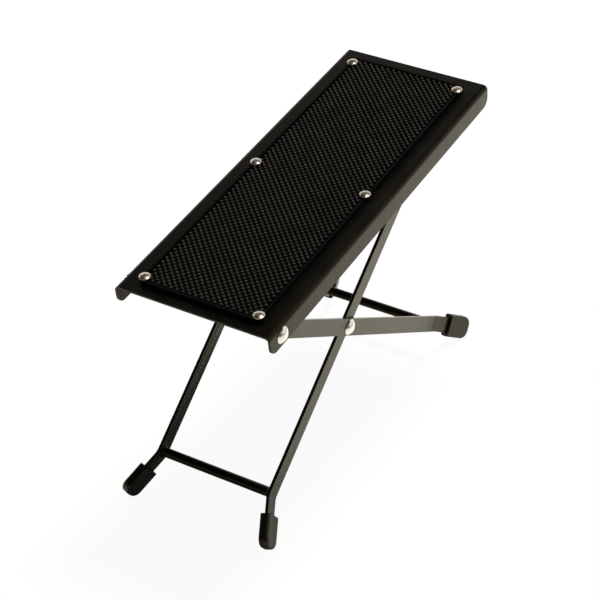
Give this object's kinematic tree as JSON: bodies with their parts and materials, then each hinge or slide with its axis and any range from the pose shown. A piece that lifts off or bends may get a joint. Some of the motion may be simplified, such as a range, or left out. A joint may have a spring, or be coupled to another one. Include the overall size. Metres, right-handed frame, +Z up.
{
  "type": "guitar footrest",
  "caption": "Folding guitar footrest: black steel deck with a pimpled rubber mat on scissor legs with rubber feet, set by notched racks under the deck.",
  "frame": {"origin": "on the floor, under the middle of the footrest's bounding box", "axes": "+Z up, +Y towards the deck's high end, +X to the right of someone who looks at the high end from the low end"},
  "size_m": [0.1272, 0.3194, 0.216],
  "materials": {
    "deck_powder_coat": "satin black powder coat",
    "leg_powder_coat": "satin black powder coat",
    "mat_rubber": "moulded black rubber with small pimples",
    "foot_rubber": "smooth moulded black rubber",
    "rivet_nickel": "bright nickel plate",
    "screw_nickel": "bright nickel plate",
    "spacer_zinc": "zinc plate"
  },
  "bodies": {
    "rear_frame": {"rear_bar_left": "leg_powder_coat", "rear_bar_right": "leg_powder_coat", "rear_crossbar": "leg_powder_coat", "rear_foot_left": "foot_rubber", "rear_foot_right": "foot_rubber", "deck_rivet_left": "rivet_nickel", "deck_rivet_right": "rivet_nickel", "scissor_rivet_left": "rivet_nickel", "scissor_rivet_right": "rivet_nickel", "deck_spacer_left": "spacer_zinc", "deck_spacer_right": "spacer_zinc"},
    "front_frame": {"front_bar_left": "leg_powder_coat", "front_bar_right": "leg_powder_coat", "front_crossbar": "leg_powder_coat", "locking_rod": "leg_powder_coat", "front_foot_left": "foot_rubber", "front_foot_right": "foot_rubber"},
    "deck": {"deck_tray": "deck_powder_coat", "rubber_mat": "mat_rubber", "mat_screw_low_left": "screw_nickel", "mat_screw_low_right": "screw_nickel", "mat_screw_middle_left": "screw_nickel", "mat_screw_middle_right": "screw_nickel", "mat_screw_high_left": "screw_nickel", "mat_screw_high_right": "screw_nickel", "notch_rack_left": "deck_powder_coat", "notch_rack_right": "deck_powder_coat"}
  },
  "joints": [
    {"name": "leg_fold", "type": "hinge", "parent": "rear_frame", "child": "front_frame", "pos_m": [0, -0.0283, 0.10676], "axis": [1, 0, 0], "range_deg": [-66, 0]},
    {"name": "deck_fold", "type": "hinge", "parent": "rear_frame", "child": "deck", "pos_m": [0, -0.13191, 0.16964], "axis": [1, 0, 0], "range_deg": [-35, 0]}
  ],
  "couplings": [
    {"joint": "deck_fold", "follows": "leg_fold", "ratio": 0.53}
  ]
}
